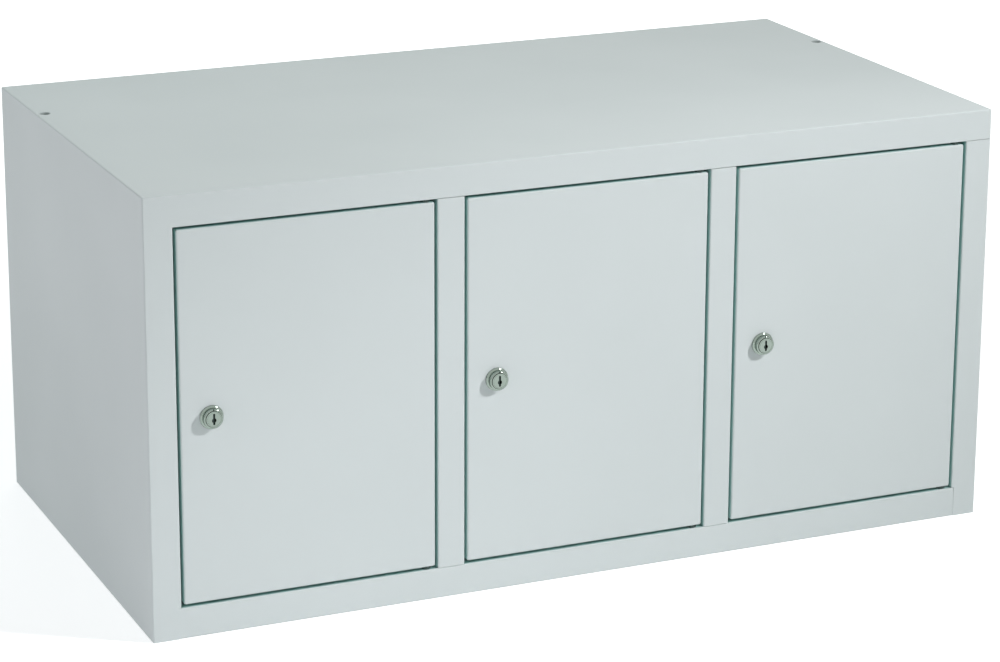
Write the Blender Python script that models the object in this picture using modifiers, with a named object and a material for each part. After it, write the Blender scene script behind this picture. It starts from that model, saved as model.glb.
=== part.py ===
"""A three-door steel locker of folded sheet, as it would come apart on a bench.

Metres, +Z up, +X to the right as seen from the front, -Y to the front. The origin is on the floor, in the
middle of the whole object's box, whose front is the faces of the three locks.
"""

import bmesh
import bpy
from math import acos, cos, pi, radians, sin
from mathutils import Vector

# Case
CASE_WIDTH = 0.930
CASE_DEPTH = 0.500
CASE_HEIGHT = 0.450
SHEET = 0.001  # thickness of every folded sheet
BEND = 0.002  # outer radius of a fold
FIT = 0.0003  # clearance between pieces that touch
OVERRUN = 0.005  # how far a cutter runs past what it cuts
BEND_SEGMENTS = 3
FOLD_ANGLE = radians(60)  # an edge that turns more than this is a fold
SMOOTH_ANGLE = radians(35)  # an edge that turns less than this is shaded smooth

# Front frame and doors
DOOR_NAMES = ("left", "centre", "right")
DIVIDER_NAMES = ("left", "right")  # of the partitions and posts between the doors
STILE_WIDTH = 0.0295
POST_WIDTH = 0.029
TOP_RAIL_HEIGHT = 0.032
BOTTOM_RAIL_HEIGHT = 0.032
RAIL_OVERLAP = 0.003  # how far the bottom rail runs past the opening, under each stile
STOP_WIDTH = 0.010  # the lip that a door closes on, at its lock side
DOOR_GAP = 0.003
DOOR_DEPTH = 0.016
DOOR_RETURN = 0.012

# Panels behind the front
REAR_FLANGE = 0.015
BASE_FLANGE = 0.015
PARTITION_FLANGE = 0.012

# Door stiffener, a hat profile
HAT_WIDTH = 0.040
HAT_DEPTH = 0.010
HAT_BRIM = 0.012
HAT_END_MARGIN = 0.010

# Pivots, at the right edge of each door
PIVOT_INSET = 0.008  # from the door's edge
PIVOT_DEPTH = 0.006  # behind the front face
PIN_RADIUS = 0.002
PIN_REACH = 0.006
PIN_HEAD_RADIUS = 0.004
PIN_HEAD_THICKNESS = 0.0015
BUSH_WALL = 0.0012
BUSH_LIP = 0.0012
BUSH_TAIL = 0.003

# Rubber buffers on the stop lips
BUFFER_HEAD_RADIUS = 0.004
BUFFER_HEAD_THICKNESS = 0.0024
BUFFER_CROWN_SHARE = 0.75  # of the head's radius, flat at its front
BUFFER_STEM_RADIUS = 0.0017
BUFFER_BULB_RADIUS = 0.0028
BUFFER_BULB_LENGTH = 0.0025
BUFFER_FROM_END = 0.040

# Locks
LOCK_INSET = 0.0315  # from the door's left edge to the lock's axis
LOCK_PROUD = 0.0085
FLANGE_RADIUS = 0.012
FLANGE_THICKNESS = 0.0022
BEZEL_RADIUS = 0.010
BEZEL_CHAMFER = 0.0008
BARREL_RADIUS = 0.009
PLUG_RADIUS = 0.007
PLUG_FACE_RADIUS = 0.008
PLUG_FACE_THICKNESS = 0.0025
PLUG_PROUD = 0.0008
KEYWAY_HEIGHT = 0.0115
KEYWAY_WIDTH = 0.0020
KEYWAY_WIDE_RADIUS = 0.0019
KEYWAY_WIDE_DROP = 0.0012
KEYWAY_DEPTH = 0.012
NUT_SIDES = 6
NUT_ACROSS_FLATS = 0.022
NUT_THICKNESS = 0.004
TANG_WIDTH = 0.008
CAM_GAP = 0.001  # between the stop lip and the cam behind it
CAM_THICKNESS = 0.002
CAM_HUB_RADIUS = 0.0095
CAM_TIP_RADIUS = 0.006
CAM_ENGAGEMENT = 0.007  # how far a turned cam reaches behind the lip
CAM_SCREW_RADIUS = 0.0019
CAM_SCREW_LENGTH = 0.008
CAM_SCREW_HEAD_RADIUS = 0.0055
CAM_SCREW_HEAD_THICKNESS = 0.0024

# Plugs in the two fixing holes of the top
TOP_HOLE_RADIUS = 0.006
TOP_HOLE_FROM_SIDE = 0.0095
TOP_HOLE_FROM_REAR = 0.137
TOP_PLUG_WALL = 0.0008
TOP_PLUG_DEPTH = 0.0035
TOP_PLUG_LIP = 0.0010

ROUND_SEGMENTS = 32
SMALL_SEGMENTS = 14
MERGE_SHARE = 0.01  # of the sheet: points closer than this are one

# Finishes: colour, roughness and metallic value
PAINT = ((0.61, 0.68, 0.66, 1.0), 0.42, 0.0)
NICKEL = ((0.62, 0.63, 0.58, 1.0), 0.28, 1.0)
ZINC = ((0.50, 0.51, 0.50, 1.0), 0.40, 1.0)
NYLON = ((0.03, 0.03, 0.03, 1.0), 0.55, 0.0)
RUBBER = ((0.02, 0.02, 0.02, 1.0), 0.80, 0.0)
GREY_PLASTIC = ((0.42, 0.46, 0.45, 1.0), 0.50, 0.0)

# Places that several pieces share, measured back from the front face and up from the floor
FRONT = LOCK_PROUD - (CASE_DEPTH + LOCK_PROUD) / 2
FRAME_HALF = CASE_WIDTH / 2 - STILE_WIDTH
OPENING_WIDTH = (2 * FRAME_HALF - (len(DOOR_NAMES) - 1) * POST_WIDTH) / len(DOOR_NAMES)
RAIL_LOW = CASE_HEIGHT - TOP_RAIL_HEIGHT
RETURN_LOW = RAIL_LOW + FIT
RETURN_TOP = RETURN_LOW + SHEET
FLOOR_TOP = BOTTOM_RAIL_HEIGHT
DOOR_LOW = FLOOR_TOP + DOOR_GAP
DOOR_HIGH = RAIL_LOW - DOOR_GAP
STOP_FACE = DOOR_DEPTH + FIT + BUFFER_HEAD_THICKNESS + FIT
STOP_BACK = STOP_FACE + SHEET
CAM_FRONT = STOP_BACK + CAM_GAP
CAM_BACK = CAM_FRONT + CAM_THICKNESS
BARREL_BACK = CAM_FRONT - FIT
INNER_HALF = CASE_WIDTH / 2 - SHEET - FIT
REAR_PANEL_BACK = CASE_DEPTH - SHEET - FIT
REAR_PANEL_FRONT = REAR_PANEL_BACK - SHEET
PANEL_BACK = REAR_PANEL_FRONT - FIT
PIN_HOLE_RADIUS = PIN_RADIUS + FIT
BUSH_RADIUS = PIN_HOLE_RADIUS + BUSH_WALL
LOCK_HEIGHT = (DOOR_LOW + DOOR_HIGH) / 2

for old in list(bpy.data.objects):
    bpy.data.objects.remove(old, do_unlink=True)

pieces = bpy.data.collections.new("three_door_locker")
cutters = bpy.data.collections.new("cutters")
bpy.context.scene.collection.children.link(pieces)
bpy.context.scene.collection.children.link(cutters)


def at(x, back, z):
    """A place in the world, from its distance behind the front face."""
    return Vector((x, FRONT + back, z))


def opening_left(index):
    return -FRAME_HALF + index * (OPENING_WIDTH + POST_WIDTH)


def door_left(index):
    return opening_left(index) + DOOR_GAP


def door_right(index):
    return opening_left(index) + OPENING_WIDTH - DOOR_GAP


def lock_place(index):
    return at(door_left(index) + LOCK_INSET, 0, LOCK_HEIGHT)


# Shapes

def mesh_from(bm, name):
    mesh = bpy.data.meshes.new(name)
    bm.to_mesh(mesh)
    bm.free()
    return mesh


def add(name, mesh, place, group=pieces):
    thing = bpy.data.objects.new(name, mesh)
    thing.location = place
    group.objects.link(thing)
    return thing


def cuboid(size):
    bm = bmesh.new()
    bmesh.ops.create_cube(bm, size=1)
    bmesh.ops.scale(bm, vec=size, verts=bm.verts)
    return bm


def box(name, low, high, group=pieces):
    return add(name, mesh_from(cuboid(high - low), name), (low + high) / 2, group)


def face_towards(bm, way):
    return max(bm.faces, key=lambda face: face.calc_center_median().dot(way))


def fold(thing):
    """Rounds the folds of an open surface and gives it the sheet's thickness, inwards."""
    bevel = thing.modifiers.new("folds", "BEVEL")
    bevel.width = BEND
    bevel.segments = BEND_SEGMENTS
    bevel.limit_method = "ANGLE"
    bevel.angle_limit = FOLD_ANGLE
    solidify = thing.modifiers.new("sheet", "SOLIDIFY")
    solidify.thickness = SHEET
    solidify.offset = -1
    solidify.use_even_offset = True


def pan(name, low, high, open_way, returned=0):
    """A folded pan: a box that is open one way, there with its edges turned in where returned is given."""
    bm = cuboid(high - low)
    mouth = face_towards(bm, Vector(open_way))
    if returned:
        bmesh.ops.inset_individual(bm, faces=[mouth], thickness=returned)
    bmesh.ops.delete(bm, geom=[mouth], context="FACES")
    thing = add(name, mesh_from(bm, name), (low + high) / 2)
    fold(thing)
    return thing


def strip(name, outline, low, high, group=pieces):
    """A folded strip that stands upright: its plan runs through the outline's points, sheet to the left."""
    bm = bmesh.new()
    verts = [bm.verts.new((x, back, 0)) for x, back in outline]
    edges = [bm.edges.new(pair) for pair in zip(verts, verts[1:])]
    grown = bmesh.ops.extrude_edge_only(bm, edges=edges)["geom"]
    top = [item for item in grown if isinstance(item, bmesh.types.BMVert)]
    bmesh.ops.translate(bm, vec=(0, 0, high - low), verts=top)
    bm.normal_update()
    along = verts[1].co - verts[0].co
    first = next(face for face in edges[0].link_faces)
    if first.normal.dot(along.cross(Vector((0, 0, 1)))) < 0:
        bmesh.ops.reverse_faces(bm, faces=bm.faces)
    thing = add(name, mesh_from(bm, name), at(0, 0, low), group)
    fold(thing)
    return thing


def smooth(mesh):
    mesh.shade_smooth()
    mesh.set_sharp_from_angle(angle=SMOOTH_ANGLE)


def turned(name, profile, place, ring=False, segments=ROUND_SEGMENTS, way=(0, 0, 1)):
    """A turned piece: its profile gives radius and height, down the outside, and up the bore of a ring."""
    bm = bmesh.new()
    verts = [bm.verts.new((radius, 0, height)) for radius, height in profile]
    for pair in zip(verts, verts[1:]):
        bm.edges.new(pair)
    if ring:
        bm.edges.new((verts[-1], verts[0]))
    thing = add(name, mesh_from(bm, name), place)
    thing.rotation_mode = "QUATERNION"
    thing.rotation_quaternion = Vector((0, 0, 1)).rotation_difference(Vector(way))
    screw = thing.modifiers.new("turned", "SCREW")
    screw.steps = segments
    screw.render_steps = segments
    screw.use_merge_vertices = True
    screw.merge_threshold = SHEET * MERGE_SHARE
    screw.use_smooth_shade = True
    return thing


def rod(name, radius, low, high, segments=ROUND_SEGMENTS, group=cutters):
    """A plain round bar between two places, which share two coordinates."""
    along = high - low
    bm = bmesh.new()
    bmesh.ops.create_cone(
        bm, cap_ends=True, segments=segments, radius1=radius, radius2=radius, depth=along.length
    )
    turn = Vector((0, 0, 1)).rotation_difference(along).to_matrix()
    bmesh.ops.rotate(bm, matrix=turn, verts=bm.verts)
    mesh = mesh_from(bm, name)
    smooth(mesh)
    return add(name, mesh, (low + high) / 2, group)


def plate(name, outline, thickness, place, group=pieces):
    """A flat plate that stands upright, square to the front, from its outline in width and height."""
    curve = bpy.data.curves.new(name, "CURVE")
    curve.dimensions = "2D"
    curve.fill_mode = "BOTH"
    curve.extrude = thickness / 2
    spline = curve.splines.new("POLY")
    spline.points.add(len(outline) - 1)
    for point, (x, z) in zip(spline.points, outline):
        point.co = (x, z, 0, 1)
    spline.use_cyclic_u = True
    drawn = add(name, curve, place, group)
    drawn.rotation_euler = (pi / 2, 0, 0)
    bpy.context.view_layer.update()
    mesh = bpy.data.meshes.new_from_object(drawn.evaluated_get(bpy.context.evaluated_depsgraph_get()))
    bm = bmesh.new()
    bm.from_mesh(mesh)
    bmesh.ops.remove_doubles(bm, verts=bm.verts, dist=SHEET * MERGE_SHARE)
    bm.to_mesh(mesh)
    bm.free()
    placing = drawn.matrix_world.copy()
    bpy.data.objects.remove(drawn, do_unlink=True)
    thing = add(name, mesh, place, group)
    thing.matrix_world = placing
    return thing


def change(thing, tool, operation="DIFFERENCE"):
    """Cuts the tool out of the thing, or joins it on."""
    tool.hide_render = True
    tool.display_type = "WIRE"
    modifier = thing.modifiers.new(tool.name, "BOOLEAN")
    modifier.operation = operation
    modifier.solver = "EXACT"
    modifier.object = tool


def finish(thing, look):
    colour, roughness, metallic = look
    material = bpy.data.materials.new(thing.name + "_finish")
    material.use_nodes = True
    shader = material.node_tree.nodes["Principled BSDF"]
    shader.inputs["Base Color"].default_value = colour
    shader.inputs["Roughness"].default_value = roughness
    shader.inputs["Metallic"].default_value = metallic
    material.diffuse_color = colour
    thing.data.materials.append(material)
    return thing


def carry(thing, parent):
    """Hangs a piece on its body's empty, where it already is."""
    bpy.context.view_layer.update()
    thing.parent = parent
    thing.matrix_parent_inverse = parent.matrix_world.inverted()
    return thing


def axis_empty(name, place):
    empty = bpy.data.objects.new(name, None)
    empty.location = place
    empty.empty_display_size = STILE_WIDTH
    pieces.objects.link(empty)
    return empty


# Case

def buffer_heights():
    return {"lower": FLOOR_TOP + BUFFER_FROM_END, "upper": RAIL_LOW - BUFFER_FROM_END}


def cut_buffer_holes(thing, index):
    x = opening_left(index) + STOP_WIDTH / 2
    for level, z in buffer_heights().items():
        hole = rod(
            f"{DOOR_NAMES[index]}_{level}_buffer_hole", BUFFER_STEM_RADIUS + FIT,
            at(x, STOP_FACE - SHEET, z), at(x, STOP_BACK + SHEET, z), SMALL_SEGMENTS, cutters,
        )
        change(thing, hole)


def outer_wrap():
    """Both sides and the top in one folded sheet, with front stiles, top rail and rear flanges."""
    low = at(-CASE_WIDTH / 2, 0, 0)
    high = at(CASE_WIDTH / 2, CASE_DEPTH, CASE_HEIGHT)
    wrap = pan("outer_wrap", low, high, (0, 0, -1))

    change(wrap, box(
        "front_window", at(-FRAME_HALF, -OVERRUN, -OVERRUN), at(FRAME_HALF, OVERRUN, RAIL_LOW), cutters
    ))
    foot_half = FRAME_HALF + RAIL_OVERLAP
    change(wrap, box(
        "front_foot_window", at(-foot_half, -OVERRUN, -OVERRUN), at(foot_half, OVERRUN, FLOOR_TOP + FIT),
        cutters,
    ))
    rear_half = CASE_WIDTH / 2 - REAR_FLANGE
    change(wrap, box(
        "rear_window", at(-rear_half, CASE_DEPTH - OVERRUN, -OVERRUN),
        at(rear_half, CASE_DEPTH + OVERRUN, CASE_HEIGHT - REAR_FLANGE), cutters,
    ))

    # The jambs and the rail's return start inside the front sheet, a clearance back from its raw edge
    start = SHEET / 2
    edge = FRAME_HALF + FIT
    low = FLOOR_TOP + FIT + FIT
    high = RETURN_LOW + SHEET / 2
    left_jamb = strip(
        "left_jamb", [(-edge, start), (-edge, STOP_FACE), (-FRAME_HALF + STOP_WIDTH, STOP_FACE)],
        low, high, cutters,
    )
    right_jamb = strip("right_jamb", [(edge, STOP_BACK), (edge, start)], low, high, cutters)
    rail_return = box(
        "rail_return", at(-FRAME_HALF - SHEET, start, RETURN_LOW),
        at(FRAME_HALF + SHEET, STOP_FACE + SHEET / 2, RETURN_TOP), cutters,
    )
    for addition in (left_jamb, right_jamb, rail_return):
        change(wrap, addition, "UNION")

    for side, name in ((-1, "left"), (1, "right")):
        ends = sorted((side * (FRAME_HALF - SHEET), side * (CASE_WIDTH / 2 - BEND)))
        change(wrap, box(
            f"{name}_stile_seam", at(ends[0], -OVERRUN, RAIL_LOW - FIT / 2),
            at(ends[1], SHEET + FIT, RAIL_LOW + FIT / 2), cutters,
        ))
        x = side * (CASE_WIDTH / 2 - TOP_HOLE_FROM_SIDE)
        back = CASE_DEPTH - TOP_HOLE_FROM_REAR
        change(wrap, rod(
            f"{name}_top_hole", TOP_HOLE_RADIUS, at(x, back, CASE_HEIGHT - OVERRUN),
            at(x, back, CASE_HEIGHT + OVERRUN),
        ))
    for index in range(len(DOOR_NAMES)):
        change(wrap, pin_hole(index, "upper", RETURN_LOW + SHEET / 2))
    cut_buffer_holes(wrap, 0)
    return finish(wrap, PAINT)


def pin_hole(index, level, z):
    x = door_right(index) - PIVOT_INSET
    return rod(
        f"{DOOR_NAMES[index]}_{level}_pin_hole", PIN_HOLE_RADIUS,
        at(x, PIVOT_DEPTH, z - SHEET), at(x, PIVOT_DEPTH, z + SHEET), SMALL_SEGMENTS, cutters,
    )


def bottom_panel():
    """The floor of the compartments, folded down to the bottom rail and to a flanged foot all round."""
    low = at(-INNER_HALF, 0, 0)
    high = at(INNER_HALF, PANEL_BACK, FLOOR_TOP)
    panel = pan("bottom_panel", low, high, (0, 0, -1), BASE_FLANGE)
    rail_half = FRAME_HALF + RAIL_OVERLAP - FIT
    for side, name in ((-1, "left"), (1, "right")):
        ends = sorted((side * rail_half, side * (INNER_HALF + OVERRUN)))
        change(panel, box(
            f"{name}_rail_notch", at(ends[0], -OVERRUN, -OVERRUN),
            at(ends[1], SHEET + FIT, FLOOR_TOP + OVERRUN), cutters,
        ))
    for index in range(len(DOOR_NAMES)):
        change(panel, pin_hole(index, "lower", FLOOR_TOP - SHEET / 2))
    return finish(panel, PAINT)


def rear_panel():
    half = CASE_WIDTH / 2 - BEND - FIT
    panel = box(
        "rear_panel", at(-half, REAR_PANEL_FRONT, 0), at(half, REAR_PANEL_BACK, CASE_HEIGHT - BEND - FIT)
    )
    return finish(panel, PAINT)


def partition(index):
    """The wall between two compartments, with a flange all round, notched behind the top rail."""
    name = DIVIDER_NAMES[index]
    x = opening_left(index) + OPENING_WIDTH + POST_WIDTH / 2 - SHEET / 2
    wall = pan(
        f"{name}_partition", at(x, SHEET + FIT, FLOOR_TOP + FIT),
        at(x + PARTITION_FLANGE, PANEL_BACK, CASE_HEIGHT - SHEET - FIT), (1, 0, 0),
    )
    change(wall, box(
        f"{name}_partition_notch", at(x - OVERRUN, -OVERRUN, RAIL_LOW - FIT),
        at(x + PARTITION_FLANGE + OVERRUN, STOP_BACK + FIT, CASE_HEIGHT), cutters,
    ))
    return finish(wall, PAINT)


def post(index):
    """The upright between two openings: a channel whose right side carries the next door's stop lip."""
    left = opening_left(index) + OPENING_WIDTH
    right = left + POST_WIDTH
    outline = [
        (left, STOP_BACK), (left, 0), (right, 0), (right, STOP_FACE), (right + STOP_WIDTH, STOP_FACE),
    ]
    upright = strip(f"{DIVIDER_NAMES[index]}_post", outline, FLOOR_TOP + FIT, RAIL_LOW - FIT)
    cut_buffer_holes(upright, index + 1)
    return finish(upright, PAINT)


def door_buffers(index):
    """Rubber buttons pressed into the stop lip, which the door closes on."""
    stem = FIT + SHEET + FIT
    profile = [
        (0, BUFFER_HEAD_THICKNESS), (BUFFER_HEAD_RADIUS * BUFFER_CROWN_SHARE, BUFFER_HEAD_THICKNESS),
        (BUFFER_HEAD_RADIUS, BUFFER_HEAD_THICKNESS / 2), (BUFFER_HEAD_RADIUS, 0), (BUFFER_STEM_RADIUS, 0),
        (BUFFER_STEM_RADIUS, -stem), (BUFFER_BULB_RADIUS, -stem),
        (BUFFER_STEM_RADIUS, -stem - BUFFER_BULB_LENGTH), (0, -stem - BUFFER_BULB_LENGTH),
    ]
    x = opening_left(index) + STOP_WIDTH / 2
    for level, z in buffer_heights().items():
        button = turned(
            f"{DOOR_NAMES[index]}_{level}_buffer", profile, at(x, STOP_FACE - FIT, z),
            segments=SMALL_SEGMENTS, way=(0, -1, 0),
        )
        finish(button, RUBBER)


def top_plug(side, name):
    """A snap-in cup that closes a fixing hole in the top."""
    outer = TOP_HOLE_RADIUS - FIT
    inner = outer - TOP_PLUG_WALL
    under = -SHEET - FIT
    lip = outer + FIT + TOP_PLUG_LIP
    profile = [
        (0, -TOP_PLUG_DEPTH), (inner, -TOP_PLUG_DEPTH), (inner, -FIT), (outer, -FIT), (outer, under),
        (lip, under), (lip, under - TOP_PLUG_WALL), (outer, under - TOP_PLUG_WALL),
        (outer, -TOP_PLUG_DEPTH - TOP_PLUG_WALL), (0, -TOP_PLUG_DEPTH - TOP_PLUG_WALL),
    ]
    x = side * (CASE_WIDTH / 2 - TOP_HOLE_FROM_SIDE)
    plug = turned(
        f"{name}_top_plug", profile, at(x, CASE_DEPTH - TOP_HOLE_FROM_REAR, CASE_HEIGHT),
        segments=SMALL_SEGMENTS,
    )
    return finish(plug, GREY_PLASTIC)


# Doors and their pivots

def door_panel(index, hinge):
    name = DOOR_NAMES[index]
    low = at(door_left(index), 0, DOOR_LOW)
    high = at(door_right(index), DOOR_DEPTH, DOOR_HIGH)
    panel = pan(f"{name}_door_panel", low, high, (0, 1, 0), DOOR_RETURN)
    axis = lock_place(index)
    clear = Vector((0, OVERRUN, 0))
    change(panel, rod(f"{name}_lock_hole", BARREL_RADIUS + FIT, axis - clear, axis + clear))
    x = door_right(index) - PIVOT_INSET
    for level, z in (("lower", DOOR_LOW), ("upper", DOOR_HIGH)):
        change(panel, rod(
            f"{name}_{level}_bush_hole", BUSH_RADIUS + FIT, at(x, PIVOT_DEPTH, z - OVERRUN),
            at(x, PIVOT_DEPTH, z + OVERRUN), SMALL_SEGMENTS,
        ))
    return carry(finish(panel, PAINT), hinge)


def door_stiffener(index, hinge):
    middle = (door_left(index) + door_right(index)) / 2
    near = SHEET + FIT
    half = HAT_WIDTH / 2
    outline = [
        (middle - half - HAT_BRIM, near), (middle - half, near), (middle - half, near + HAT_DEPTH),
        (middle + half, near + HAT_DEPTH), (middle + half, near), (middle + half + HAT_BRIM, near),
    ]
    low = DOOR_LOW + HAT_END_MARGIN
    high = DOOR_HIGH - HAT_END_MARGIN
    hat = strip(f"{DOOR_NAMES[index]}_door_stiffener", outline, low, high)
    return carry(finish(hat, PAINT), hinge)


def pivots(index, hinge):
    """At each end a headed pin, fixed in the case, and a flanged bush in the door, which turns on it."""
    lip = BUSH_RADIUS + BUSH_LIP
    bush = [
        (lip, DOOR_GAP - FIT), (lip, FIT), (BUSH_RADIUS, FIT), (BUSH_RADIUS, -SHEET - BUSH_TAIL),
        (PIN_HOLE_RADIUS, -SHEET - BUSH_TAIL), (PIN_HOLE_RADIUS, DOOR_GAP - FIT),
    ]
    x = door_right(index) - PIVOT_INSET
    seats = {"lower": FLOOR_TOP - SHEET - FIT, "upper": RETURN_TOP + FIT}
    edges = {"lower": DOOR_LOW, "upper": DOOR_HIGH}
    for level, out in (("lower", -1), ("upper", 1)):
        name = f"{DOOR_NAMES[index]}_{level}"
        length = abs(seats[level] - edges[level]) + SHEET + PIN_REACH
        pin = [
            (0, PIN_HEAD_THICKNESS), (PIN_HEAD_RADIUS, PIN_HEAD_THICKNESS), (PIN_HEAD_RADIUS, 0),
            (PIN_RADIUS, 0), (PIN_RADIUS, -length), (0, -length),
        ]
        stud = turned(
            f"{name}_pivot_pin", pin, at(x, PIVOT_DEPTH, seats[level]),
            segments=SMALL_SEGMENTS, way=(0, 0, out),
        )
        finish(stud, ZINC)
        sleeve = turned(
            f"{name}_pivot_bush", bush, at(x, PIVOT_DEPTH, edges[level]), ring=True,
            segments=SMALL_SEGMENTS, way=(0, 0, out),
        )
        carry(finish(sleeve, NYLON), hinge)


# Locks

def lock_housing(index, hinge):
    top = LOCK_PROUD - PLUG_PROUD
    pocket = PLUG_FACE_RADIUS + FIT
    pocket_floor = LOCK_PROUD - PLUG_FACE_THICKNESS - FIT
    bore = PLUG_RADIUS + FIT
    profile = [
        (pocket, top), (BEZEL_RADIUS - BEZEL_CHAMFER, top), (BEZEL_RADIUS, top - BEZEL_CHAMFER),
        (BEZEL_RADIUS, FIT + FLANGE_THICKNESS), (FLANGE_RADIUS - BEZEL_CHAMFER, FIT + FLANGE_THICKNESS),
        (FLANGE_RADIUS, FIT + FLANGE_THICKNESS - BEZEL_CHAMFER), (FLANGE_RADIUS, FIT), (BARREL_RADIUS, FIT),
        (BARREL_RADIUS, -BARREL_BACK), (bore, -BARREL_BACK), (bore, pocket_floor), (pocket, pocket_floor),
    ]
    housing = turned(
        f"{DOOR_NAMES[index]}_lock_housing", profile, lock_place(index), ring=True, way=(0, -1, 0)
    )
    return carry(finish(housing, NICKEL), hinge)


def lock_nut(index, hinge):
    name = DOOR_NAMES[index]
    front = lock_place(index) + Vector((0, SHEET + FIT, 0))
    back = front + Vector((0, NUT_THICKNESS, 0))
    corner = NUT_ACROSS_FLATS / 2 / cos(pi / NUT_SIDES)
    nut = rod(f"{name}_lock_nut", corner, front, back, NUT_SIDES, pieces)
    clear = Vector((0, OVERRUN, 0))
    change(nut, rod(f"{name}_nut_bore", BARREL_RADIUS + FIT, front - clear, back + clear))
    return carry(finish(nut, ZINC), hinge)


def lock_plug(index, core):
    """The turning plug: its face with the keyway, its shaft, and the square tang that drives the cam."""
    name = DOOR_NAMES[index]
    axis = lock_place(index)
    face_back = LOCK_PROUD - PLUG_FACE_THICKNESS
    profile = [
        (0, LOCK_PROUD), (PLUG_FACE_RADIUS, LOCK_PROUD), (PLUG_FACE_RADIUS, face_back),
        (PLUG_RADIUS, face_back), (PLUG_RADIUS, -BARREL_BACK), (0, -BARREL_BACK),
    ]
    plug = turned(f"{name}_lock_plug", profile, axis, way=(0, -1, 0))
    half = TANG_WIDTH / 2
    tang_low = axis + Vector((-half, BARREL_BACK - SHEET, -half))
    tang_high = axis + Vector((half, CAM_BACK, half))
    change(plug, box(f"{name}_tang", tang_low, tang_high, cutters), "UNION")
    tall = KEYWAY_HEIGHT / 2
    wide = KEYWAY_WIDTH / 2
    ahead = -LOCK_PROUD - OVERRUN
    deep = KEYWAY_DEPTH - LOCK_PROUD
    slot_low = axis + Vector((-wide, ahead, -tall))
    slot_high = axis + Vector((wide, deep, tall))
    change(plug, box(f"{name}_keyway", slot_low, slot_high, cutters))
    change(plug, rod(
        f"{name}_keyway_wide", KEYWAY_WIDE_RADIUS, axis + Vector((0, ahead, -KEYWAY_WIDE_DROP)),
        axis + Vector((0, deep, -KEYWAY_WIDE_DROP)), SMALL_SEGMENTS,
    ))
    change(plug, rod(
        f"{name}_screw_hole", CAM_SCREW_RADIUS + FIT,
        axis + Vector((0, CAM_BACK - CAM_SCREW_LENGTH, 0)), axis + Vector((0, CAM_BACK + OVERRUN, 0)),
        SMALL_SEGMENTS,
    ))
    return carry(finish(plug, NICKEL), core)


def cam_outline(reach):
    """Two arcs and their tangents: the round hub, and the narrower round tip to the right of it."""
    apart = reach - CAM_TIP_RADIUS
    tangent = acos((CAM_HUB_RADIUS - CAM_TIP_RADIUS) / apart)
    steps = ROUND_SEGMENTS // 2
    points = []
    for step in range(steps + 1):
        angle = tangent + (2 * pi - 2 * tangent) * step / steps
        points.append((CAM_HUB_RADIUS * cos(angle), CAM_HUB_RADIUS * sin(angle)))
    for step in range(steps + 1):
        angle = -tangent + 2 * tangent * step / steps
        points.append((apart + CAM_TIP_RADIUS * cos(angle), CAM_TIP_RADIUS * sin(angle)))
    return points


def lock_cam(index, core):
    """The cam points away from the stop lip, so the door is free; half a turn puts it behind the lip."""
    name = DOOR_NAMES[index]
    reach = LOCK_INSET + DOOR_GAP - STOP_WIDTH + CAM_ENGAGEMENT
    axis = lock_place(index)
    middle = axis + Vector((0, (CAM_FRONT + CAM_BACK) / 2, 0))
    cam = plate(f"{name}_lock_cam", cam_outline(reach), CAM_THICKNESS, middle)
    half = TANG_WIDTH / 2 + FIT
    change(cam, box(
        f"{name}_cam_hole", axis + Vector((-half, CAM_FRONT - OVERRUN, -half)),
        axis + Vector((half, CAM_BACK + OVERRUN, half)), cutters,
    ))
    return carry(finish(cam, ZINC), core)


def cam_screw(index, core):
    head = CAM_SCREW_HEAD_THICKNESS
    profile = [
        (0, head), (CAM_SCREW_HEAD_RADIUS / 2, head), (CAM_SCREW_HEAD_RADIUS, head / 2),
        (CAM_SCREW_HEAD_RADIUS, 0), (CAM_SCREW_RADIUS, 0), (CAM_SCREW_RADIUS, -CAM_SCREW_LENGTH),
        (0, -CAM_SCREW_LENGTH),
    ]
    place = lock_place(index) + Vector((0, CAM_BACK + FIT, 0))
    screw = turned(
        f"{DOOR_NAMES[index]}_cam_screw", profile, place, segments=SMALL_SEGMENTS, way=(0, 1, 0)
    )
    return carry(finish(screw, ZINC), core)


outer_wrap()
bottom_panel()
rear_panel()
for number in range(len(DOOR_NAMES) - 1):
    partition(number)
    post(number)
top_plug(-1, "left")
top_plug(1, "right")
for number, door_name in enumerate(DOOR_NAMES):
    pivot_x = door_right(number) - PIVOT_INSET
    door_hinge = axis_empty(f"{door_name}_door_hinge_axis", at(pivot_x, PIVOT_DEPTH, 0))
    lock_axis = axis_empty(f"{door_name}_lock_axis", lock_place(number))
    carry(lock_axis, door_hinge)
    door_buffers(number)
    door_panel(number, door_hinge)
    door_stiffener(number, door_hinge)
    pivots(number, door_hinge)
    lock_housing(number, door_hinge)
    lock_nut(number, door_hinge)
    lock_plug(number, lock_axis)
    lock_cam(number, lock_axis)
    cam_screw(number, lock_axis)
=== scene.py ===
from math import acos, cos, pi, radians, sin, tan

import bmesh
import bpy
from mathutils import Matrix, Vector


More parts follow.
